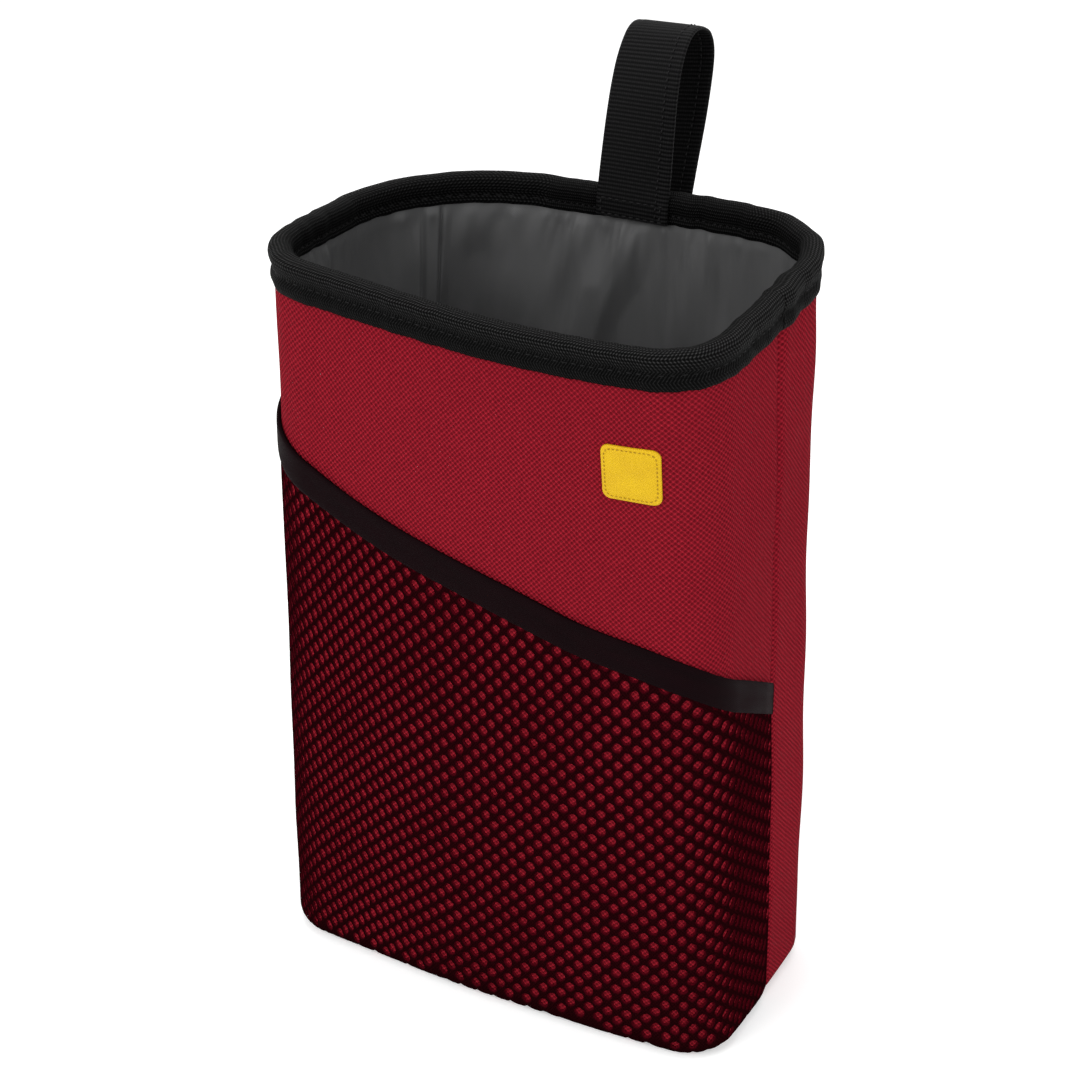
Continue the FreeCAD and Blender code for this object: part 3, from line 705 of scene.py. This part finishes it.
# Section of the rim's tape: how far out of the fabric, and how high against the wall's edge.
TAPE_SECTION = (
    (0.2, -9.9), (0.95, -9.6), (1.35, -8.2), (1.15, -6.6), (0.6, -5.0), (1.2, -3.8),
    (1.7, -2.2), (1.8, -0.6), (1.35, 0.8), (0.2, 1.6), (-1.95, 1.9), (-4.0, 1.5),
    (-5.2, 0.5), (-5.6, -1.0), (-5.45, -2.6), (-5.05, -4.0), (-4.7, -5.0), (-5.1, -5.9),
    (-5.2, -6.8), (-4.95, -7.4), (-4.3, -7.6), (-2.0, -5.0),
)

# Lap of the tape's ends: its length and how far it stands out. Then the tape's columns.
TAPE_JOIN = 15.0
TAPE_LAP = 0.4
TAPE_COLUMNS = 420


def rim_tape():
    """Tape folded over the rim and sewn through, with its ends lapped at the right side seam."""
    section = spline(TAPE_SECTION, 52, closed=True)
    seam = seam_run(RIM - EDGE, True) - 2
    run = np.linspace(0, AROUND, TAPE_COLUMNS + 1)[:-1]
    run = np.union1d(run, np.linspace(seam - 1, seam + 2, 13))
    columns = len(run)
    across = np.broadcast_to(run, (len(section), columns))
    out = section[:, :1] + np.zeros((1, columns))
    high = section[:, 1:] + np.zeros((1, columns))
    pinch = np.exp(-(((high + STITCH_ROW) / 3.2) ** 2))
    side = np.where(out > -2, 1.0, -1.0)
    lap = smooth(run, seam, seam + 0.8) - smooth(run, seam + TAPE_JOIN - 3, seam + TAPE_JOIN)
    out = out + side * pinch * 0.09 * ripple(across, high * 0, seed=41, count=10, long=6.5)
    out = out + 0.06 * ripple(across, high, seed=43, count=8, long=26) + TAPE_LAP * side * lap
    sway = 0.08 * ripple(across, high * 0, seed=45, count=8, long=60)
    edge_sway = 0.08 * (high < -7) * ripple(across, high * 0, seed=47, count=9, long=8)
    high = high + sway + edge_sway
    points = wall(across, RIM - EDGE + high, -out)
    profile = lengths_along(section)
    profile = np.append(profile, profile[-1] + 0.8)
    faces, uvs = grid(points, np.append(run, AROUND), profile, ring=True, tube=True)
    piece = add_mesh("rim_tape", points, faces, uvs)
    return finish_piece(piece, TAPE, ["rim_binding"])


rim_tape()

# A stitch: sides round it, and rings by their share of its length and of its radius.
STITCH_SIDES = 6
STITCH_RINGS = ((0.0, 0.35), (0.18, 0.85), (0.5, 1.0), (0.82, 0.85), (1.0, 0.35))

# Radius of the thread in long rows, where the webbing is sewn down, and on the patch.
ROW_THREAD = 0.26
STRAP_THREAD = 0.3
PATCH_THREAD = 0.16


def stitches(name, starts, ends, out, radius, material):
    """Short sunk stitches: each one a bowed grain between two points of a row."""
    points = []
    faces = []
    for start, end, way in zip(starts, ends, out):
        along = end - start
        along = along / np.linalg.norm(along)
        aside = np.cross(along, way)
        first = len(points)
        for share, wide in STITCH_RINGS:
            bow = radius * (1.3 * math.sin(math.pi * share) - 0.55)
            centre = start + (end - start) * share + way * bow
            for step in range(STITCH_SIDES):
                turn = math.tau * step / STITCH_SIDES
                points.append(centre + (aside * math.cos(turn) + way * math.sin(turn)) * radius * wide)
        for ring in range(len(STITCH_RINGS) - 1):
            low = first + ring * STITCH_SIDES
            high = low + STITCH_SIDES
            for step in range(STITCH_SIDES):
                following = (step + 1) % STITCH_SIDES
                faces.append([low + step, low + following, high + following, high + step])
        last = first + (len(STITCH_RINGS) - 1) * STITCH_SIDES
        faces.append([first + step for step in range(STITCH_SIDES - 1, -1, -1)])
        faces.append([last + step for step in range(STITCH_SIDES)])
    piece = add_mesh(name, np.array(points), faces)
    return finish_piece(piece, material, [])


def row_of(points, way, name, share, radius, material):
    """Stitches along a row of evenly spaced points."""
    starts = points[:-1]
    ends = points[:-1] + (points[1:] - points[:-1]) * share
    return stitches(name, starts, ends, way[:-1], radius, material)


# Length of a stitch on the rim with the gap after it.
RIM_STITCH = 3.0


def rim_stitches():
    """Row of stitches through the rim's tape, outside and inside."""
    run = np.linspace(0, AROUND, int(AROUND / RIM_STITCH) + 1)
    level = np.full_like(run, RIM - EDGE - STITCH_ROW)
    for name, out in (("rim_stitches_out", 0.5), ("rim_stitches_in", -4.6)):
        points = wall(run, level, -out)
        way = wall(run, level, -out - 1) - points
        if out < 0:
            way = -way
        row_of(points, way, name, 0.72, ROW_THREAD, BLACK_THREAD)


rim_stitches()

# Pocket's edge: how far it lies under the rim's tape, at the front and at the seam, on each side.
TAPE_LOW = RIM - BINDING_DROP
EDGE_LEFT = (46.0, 30.0)
EDGE_RIGHT = (88.2, 121.4)

# Slack of the pocket's edge, and the runs over which it comes and goes.
EDGE_SAG = 5.0
SAG_FROM = (-25, 45)
SAG_TO = (92, 140)


def pocket_edge(run):
    """Height of the pocket's slack edge above the soft lower edge, at each run."""
    reach = MOUTH["depth"] / 2
    up = np.full_like(run, 150.0)
    for _ in range(6):
        place = wall(run, up, soft=False)
        back = (place[..., 1] + reach) / (SEAM + reach)
        across = place[..., 0] / BASE["width"] + 0.5
        left = EDGE_LEFT[0] + (EDGE_LEFT[1] - EDGE_LEFT[0]) * back
        right = EDGE_RIGHT[0] + (EDGE_RIGHT[1] - EDGE_RIGHT[0]) * back
        up = TAPE_LOW - left - (right - left) * across - EDGE
    return up - EDGE_SAG * smooth(run, *SAG_FROM) * (1 - smooth(run, *SAG_TO))


def front_ends(up):
    """Runs of the left and right side seam, as the ends of the front."""
    return seam_run(up, False) - AROUND, seam_run(up, True)


# Section of the pocket's band: how far out of the fabric, and how high against the pocket's edge.
BAND_SECTION = (
    (0.6, -11.7), (1.0, -11.5), (1.2, -9.4), (1.25, -5.5), (1.3, -2.2),
    (1.2, -0.4), (0.75, 0.15), (0.3, -0.3), (0.15, -2.5), (0.15, -8.0),
)


def band():
    """Stretch band folded over the pocket's edge, a little fuller between its ends."""
    columns = 240
    ends = front_ends(TAPE_LOW - EDGE - np.array([EDGE_LEFT[1], EDGE_RIGHT[1]]))
    run = np.linspace(ends[0][0] + 0.6, ends[1][1] - 0.4, columns)
    top = pocket_edge(run)
    section = spline(BAND_SECTION, 30, closed=True)
    taper = smooth(np.minimum(run - run[0], run[-1] - run), 0, 9)
    lift = 0.2 * taper * (1 + 0.6 * ripple(run, run * 0, seed=51, count=6, long=60))
    out = section[:, :1] + lift * (section[:, :1] > 0.5) - 0.5 * (1 - taper)
    high = top + section[:, 1:] + 0.25 * ripple(run, run * 0, seed=53, count=6, long=70) * taper
    points = wall(run[None, :], high, -np.maximum(out, 0.1))
    profile = lengths_along(section)
    profile = np.append(profile, profile[-1] + 0.9)
    faces, uvs = grid(points, run, profile, tube=True)
    for column, order in ((0, 1), (columns - 1, -1)):
        faces.append([row * columns + column for row in range(len(section))][::-order])
        uvs.extend([(0, 0)] * len(section))
    piece = add_mesh("pocket_band", points, faces, uvs)
    return finish_piece(piece, BAND, ["pocket_binding"])


band()

# Openwork: holes in staggered columns, half the width and height of a hole, and the spread of their sizes.
HOLE_ACROSS = 3.0
HOLE_UP = 6.5
HOLE = np.array((1.5, 1.75))
HOLE_SPREAD = (0.86, 1.08)

# The openwork is drawn together towards the left, where its rows slope, and rises a little at the right.
NET_TURN = 60
NET_RUN = np.linspace(-90, 220, 621)
NET_STEP = NET_RUN[1] - NET_RUN[0]
NET_SPACING = 2.05 + 0.85 * smooth(NET_RUN, 5, 50) + 0.25 * smooth(NET_RUN, NET_TURN, 115)
NET_FALL = 0.009 * np.clip(NET_RUN - NET_TURN, -46, 0)
NET_SLOPE = np.where(NET_RUN < NET_TURN, NET_FALL, 0.0024 * (NET_RUN - NET_TURN))
NET_PLACE = np.cumsum(NET_STEP * HOLE_ACROSS / NET_SPACING)
NET_RISE = np.cumsum(NET_STEP * NET_SLOPE)
NET_RISE = NET_RISE - NET_RISE.min()

# Where it is drawn together its holes are wider for their cells, and its strands lie lower.
NET_WIDER = 0.13
NET_STAND = 0.8
NET_LOWER = 0.3

# Openwork's borders: rows of cells, the hem under the band, the plain strip and the tuck at the side seams.
NET_ROWS = range(-12, 40)
NET_HEM = 5
NET_STRIP = 1.6
NET_TUCK = (0.7, 0.5)
NET_CLEAR = 0.1


def drawn(places):
    """Run and height above the soft lower edge at which places of the even openwork come to lie."""
    run = np.interp(places[..., 0], NET_PLACE, NET_RUN)
    return run, places[..., 1] + np.interp(run, NET_RUN, NET_RISE)


def drawn_together(run):
    """How much the openwork is drawn together, from 1 at the left to 0."""
    return 1 - smooth(run, 0, NET_TURN)


def pocket():
    """Openwork over the lower front: each hole has a rounded edge, and the strands stand off the panel."""
    rng = np.random.default_rng(61)
    corners = np.array([(HOLE_ACROSS, 0), (0, HOLE_UP / 2), (-HOLE_ACROSS, 0), (0, -HOLE_UP / 2)])
    following = np.roll(corners, -1, axis=0)
    thirds = [corners + (following - corners) * share for share in (0, 1 / 3, 2 / 3)]
    border = np.stack(thirds, axis=1).reshape(-1, 2)
    sides = len(border)
    angle = np.arctan2(border[:, 1], border[:, 0])
    ring = np.stack([np.cos(angle), np.sin(angle)], axis=1) * HOLE
    low = -EDGE * 0.95
    heights = np.arange(low, 215, 1.0)
    seam_left, seam_right = front_ends(np.clip(heights, 0, None))
    reach = np.interp((seam_left.min(), seam_right.max()), NET_RUN, NET_PLACE)
    plan = []
    stands = []
    faces = []
    shared = {}

    def point(place, stand):
        plan.append(place)
        stands.append(stand)
        return len(plan) - 1

    for column in range(int(reach[0] / HOLE_ACROSS) - 1, int(reach[1] / HOLE_ACROSS) + 2):
        for number in NET_ROWS:
            centre = np.array([column * HOLE_ACROSS, (number + column % 2 / 2) * HOLE_UP])
            run, up = drawn(centre)
            begin = np.interp(up, heights, seam_left)
            end = np.interp(up, heights, seam_right)
            if not low < up < pocket_edge(run) - NET_HEM or not begin - 2 < run < end + 2:
                continue
            outer = []
            for offset in border:
                place = centre + offset
                key = (round(place[0] * 20), round(place[1] * 20))
                if key not in shared:
                    shared[key] = point(place, 1.0)
                outer.append(shared[key])
            if up < -1.5 or not begin + NET_STRIP < run < end - NET_STRIP:
                faces.append(outer)
                continue
            sizes = rng.uniform(*HOLE_SPREAD, sides)
            loops = [outer]
            wider = 1 + NET_WIDER * drawn_together(run)
            for share, stand in ((1.2, 0.92), (1.02 * wider, 0.5), (0.88 * wider, 0.05)):
                loops.append([point(centre + way * share * size, stand) for way, size in zip(ring, sizes)])
            for outside, inside in zip(loops, loops[1:]):
                for step in range(sides):
                    after = (step + 1) % sides
                    faces.append([outside[step], outside[after], inside[after], inside[step]])
    plan = np.array(plan)
    stands = np.array(stands)
    run, up = drawn(plan)
    begin = np.interp(up, heights, seam_left) + NET_TUCK[0]
    end = np.interp(up, heights, seam_right) - NET_TUCK[1]
    run = np.clip(run, begin, end)
    near = np.minimum(run - begin, end - run)
    standing = stands * (NET_STAND - NET_LOWER * drawn_together(run))
    slack = 0.12 * smooth(near, 0, 25) * (1 + 0.6 * ripple(run, up, seed=63, count=8, long=46))
    off = NET_CLEAR + standing + slack - 0.7 * np.exp(-((near / 2.5) ** 2))
    points = wall(run, np.maximum(up, low - 2), -np.maximum(off, NET_CLEAR))
    points[:, 2] = np.maximum(points[:, 2], 0.15)
    uvs = [plan[index] for face in faces for index in face]
    piece = add_mesh("pocket_mesh", points, faces, uvs)
    piece.data.attributes.new("stand", "FLOAT", "POINT").data.foreach_set("value", stands)
    return finish_piece(piece, MESH, ["mesh_pocket"])


pocket()

# Side view of the webbing along its left and right edges: inside the rim, over the crest and down the back.
STRAP_SIDES = (
    ((49.3, 246.8), (49.6, 252.0), (51.6, 262.0), (55.2, 276.0), (58.8, 286.7), (63.2, 295.2), (69.6, 301.5),
     (76.6, 302.3), (81.5, 296.8), (81.2, 287.0), (76.6, 272.0), (71.0, 257.0), (64.0, 240.0), (58.6, 224.0),
     (55.0, 210.0), (53.6, 190.0)),
    ((49.3, 246.8), (49.6, 252.0), (51.2, 262.0), (52.9, 276.0), (54.6, 287.7), (57.7, 297.2), (63.4, 303.7),
     (71.0, 304.8), (78.1, 301.2), (80.9, 292.8), (77.0, 276.5), (70.2, 259.0), (63.6, 241.0), (58.6, 225.0),
     (55.0, 210.0), (53.6, 190.0)),
)

# Where those edges lie across the bag, the webbing's thickness, and the column of its long rows of stitches.
STRAP_EDGES = (-8.8, 16.2)
STRAP = 1.5
STITCH_COLUMN = 25


def strap():
    """Stiff webbing with ribs across, bound edges and a slight twist over its crest."""
    rows = 760
    columns = 31
    edges = [spline(side, rows) for side in STRAP_SIDES]
    share = np.linspace(0, 1, columns)
    line = edges[0][:, None, :] * (1 - share)[None, :, None] + edges[1][:, None, :] * share[None, :, None]
    across = STRAP_EDGES[0] + (STRAP_EDGES[1] - STRAP_EDGES[0]) * share
    points = np.concatenate([np.broadcast_to(across[None, :, None], (rows, columns, 1)), line], axis=2)
    along = np.gradient(points, axis=0)
    aside = np.gradient(points, axis=1)
    normal = np.cross(aside, along)
    normal /= np.linalg.norm(normal, axis=2, keepdims=True)
    length = lengths_along(points[:, columns // 2])
    field = smooth(share, 0.06, 0.12) * (1 - smooth(share, 0.8, 0.86))
    rib = (0.5 + 0.5 * np.sin(math.tau * length / WEBBING_RIB))[:, None] * field
    selvedge = np.exp(-(((share - 0.93) / 0.05) ** 2)) + np.exp(-(((share - 0.03) / 0.03) ** 2))
    half = STRAP / 2 - 0.16 + 0.14 * rib + 0.12 * selvedge
    half = half * np.sqrt(np.clip(1 - (np.abs(share - 0.5) / 0.508) ** 12, 0.05, 1))
    front = points + normal * half[..., None]
    rear = points - normal * half[..., None]
    loop = np.concatenate([front, rear[:, ::-1]], axis=1)
    width = np.concatenate([across, across[::-1], across[:1]])
    faces, uvs = grid(loop, width, length, ring=True, flip=True)
    for row, order in ((0, 1), (rows - 1, -1)):
        faces.append([row * columns * 2 + column for column in range(columns * 2)][::order])
        uvs.extend([(0, 0)] * columns * 2)
    piece = add_mesh("strap", loop, faces, uvs)
    finish_piece(piece, WEBBING, ["strap_loop"])
    picks = np.arange(6, rows - 6, 9)
    for name, surface, side in (("strap_stitches_front", front, 1), ("strap_stitches_rear", rear, -1)):
        ways = normal[picks, STITCH_COLUMN] * side
        row_of(surface[picks, STITCH_COLUMN], ways, name, 0.7, ROW_THREAD, BLACK_THREAD)
    sewn = (
        ("strap_tail_stitches", front, 1, 3, 23),
        ("strap_back_stitches", rear, -1, rows - 90, rows - 6),
    )
    for name, surface, side, start, end in sewn:
        starts = []
        ends = []
        ways = []
        for row in (start, end):
            for column in range(2, columns - 4, 3):
                starts.append(surface[row, column])
                ends.append(surface[row, column + 2])
                ways.append(normal[row, column] * side)
        for column in (2, columns - 4):
            for row in range(start, end - 8, 10):
                starts.append(surface[row, column])
                ends.append(surface[row + 7, column])
                ways.append(normal[row, column] * side)
        stitches(name, starts, ends, ways, STRAP_THREAD, BLACK_THREAD)


strap()

# Patch: side, corner radius, place across the front and height of its middle, and points round it.
PATCH_SIDE = 18.5
PATCH_ROUND = 2.5
PATCH_PLACE = 54.0
PATCH_HEIGHT = 213.0
PATCH_POINTS = 120

# Rings of the patch, from its border to its middle: share of its outline, and how far off the fabric.
PATCH_RINGS = (
    (1.0, 0.05), (1.0, 0.55), (0.985, 0.8), (0.95, 0.9), (0.9, 0.86),
    (0.85, 0.9), (0.6, 0.93), (0.3, 0.94), (0.03, 0.94),
)

# Stitches round the patch, and the share of its outline on which they lie.
PATCH_STITCHES = 44
PATCH_ROW = 0.88


def front_run_at(x, up):
    """Run on the front at which the wall stands at x."""
    runs = np.linspace(-20, LENGTHS[FRONT_ARC] + LENGTHS[FRONT_RIGHT_ARC], 600)
    places = wall(runs, np.full_like(runs, up), soft=False)[:, 0]
    return np.interp(x, places, runs)


def patch():
    """Plain rounded patch, sewn on near its border."""
    corner = PATCH_SIDE / 2 - PATCH_ROUND
    outline = []
    for quarter, (x, y) in enumerate(((1, 1), (-1, 1), (-1, -1), (1, -1))):
        for step in range(9):
            turn = math.pi / 2 * (quarter + step / 8)
            place = (x * corner + PATCH_ROUND * math.cos(turn), y * corner + PATCH_ROUND * math.sin(turn))
            outline.append(place)
    outline = even(outline + outline[:1], PATCH_POINTS + 1)[:-1]
    level = PATCH_HEIGHT - EDGE
    centre = front_run_at(PATCH_PLACE, level)
    points = []
    for share, lift in PATCH_RINGS:
        points.append(wall(centre + outline[:, 0] * share, level + outline[:, 1] * share, -lift))
    points = np.array(points)
    faces, _ = grid(points, np.arange(PATCH_POINTS + 1.0), np.arange(len(PATCH_RINGS) + 0.0), ring=True)
    last = (len(PATCH_RINGS) - 1) * PATCH_POINTS
    faces.append([last + item for item in range(PATCH_POINTS)])
    flat = np.concatenate([outline * share for share, _ in PATCH_RINGS])
    uvs = [flat[index] for face in faces for index in face]
    piece = add_mesh("plain_patch", points, faces, uvs)
    finish_piece(piece, YELLOW, ["label_patch"])
    row = even(np.concatenate([outline, outline[:1]]) * PATCH_ROW, PATCH_STITCHES + 1)
    places = wall(centre + row[:, 0], level + row[:, 1], -0.9)
    ways = wall(centre + row[:, 0], level + row[:, 1], -1.9) - places
    row_of(places, ways, "patch_stitches", 0.68, PATCH_THREAD, YELLOW_THREAD)


patch()

# Stage, in metres: half the floor's side, how brightly the floor shows, and the light of the surroundings.
FLOOR_REACH = 1.3
FLOOR_GLOW = 0.42
SURROUNDINGS = 0.45
WHITE = (1, 1, 1, 1)

# Lamps: name, place, target, width and power.
LAMPS = (
    ("key", (-0.55, -1.15, 1.15), (0, 0, 0.15), 1.0, 13.0),
    ("fill", (1.3, -0.5, 0.8), (0, 0, 0.15), 1.2, 7.2),
    ("top", (-0.1, 0.25, 1.5), (0, 0, 0.2), 1.1, 11.0),
)

# Camera: focal length and sensor in millimetres, place and target in metres.
CAMERA_LENS = 83.98
CAMERA_SENSOR = 36
CAMERA_PLACE = (0.3365, -0.6265, 0.5329)
CAMERA_TARGET = (-0.0026, 0, 0.1531)


def seen_share(tree):
    """Socket that is 1 on rays that show the surroundings: straight, mirrored or through glass."""
    path = tree.nodes.new("ShaderNodeLightPath")
    seen = path.outputs["Is Camera Ray"]
    for ray in ("Is Glossy Ray", "Is Transmission Ray"):
        either = tree.nodes.new("ShaderNodeMath")
        either.operation = "MAXIMUM"
        tree.links.new(seen, either.inputs[0])
        tree.links.new(path.outputs[ray], either.inputs[1])
        seen = either.outputs[0]
    return seen


def add_floor(scene):
    """Pale floor that shows as nearly white."""
    mesh = bpy.data.meshes.new("floor")
    corners = [(x * FLOOR_REACH, y * FLOOR_REACH, 0) for x, y in ((-1, -1), (1, -1), (1, 1), (-1, 1))]
    mesh.from_pydata(corners, [], [(0, 1, 2, 3)])
    ground = bpy.data.objects.new("floor", mesh)
    scene.collection.objects.link(ground)
    material = bpy.data.materials.new("floor")
    material.use_nodes = True
    tree = material.node_tree
    shader = tree.nodes["Principled BSDF"]
    shader.inputs["Base Color"].default_value = (0.86, 0.86, 0.86, 1)
    shader.inputs["Roughness"].default_value = 0.9
    shader.inputs["Specular IOR Level"].default_value = 0.1
    shader.inputs["Emission Color"].default_value = WHITE
    glow = tree.nodes.new("ShaderNodeMath")
    glow.operation = "MULTIPLY"
    glow.inputs[1].default_value = FLOOR_GLOW
    tree.links.new(seen_share(tree), glow.inputs[0])
    tree.links.new(glow.outputs[0], shader.inputs["Emission Strength"])
    mesh.materials.append(material)


def add_surroundings(scene):
    """White surroundings that give only a part of their brightness as light."""
    world = bpy.data.worlds.new("studio")
    scene.world = world
    world.use_nodes = True
    tree = world.node_tree
    light = tree.nodes["Background"]
    light.inputs["Color"].default_value = WHITE
    light.inputs["Strength"].default_value = SURROUNDINGS
    white = tree.nodes.new("ShaderNodeBackground")
    white.inputs["Strength"].default_value = 1.0
    white.inputs["Color"].default_value = WHITE
    mix = tree.nodes.new("ShaderNodeMixShader")
    tree.links.new(seen_share(tree), mix.inputs[0])
    tree.links.new(light.outputs[0], mix.inputs[1])
    tree.links.new(white.outputs[0], mix.inputs[2])
    tree.links.new(mix.outputs[0], tree.nodes["World Output"].inputs["Surface"])


def aim(scene, item, place, target):
    """Put a lamp or the camera at its place, turned to its target."""
    item.location = place
    item.rotation_euler = (Vector(target) - Vector(place)).to_track_quat("-Z", "Y").to_euler()
    scene.collection.objects.link(item)


def stage():
    """Pale floor and white surroundings, with wide soft lamps."""
    scene = bpy.context.scene
    scene.view_settings.view_transform = "Standard"
    add_floor(scene)
    add_surroundings(scene)
    for name, place, target, width, power in LAMPS:
        data = bpy.data.lights.new(name, "AREA")
        data.size = width
        data.energy = power
        aim(scene, bpy.data.objects.new(name, data), place, target)
    data = bpy.data.cameras.new("camera")
    data.lens = CAMERA_LENS
    data.sensor_width = CAMERA_SENSOR
    camera = bpy.data.objects.new("camera", data)
    aim(scene, camera, CAMERA_PLACE, CAMERA_TARGET)
    scene.camera = camera


stage()
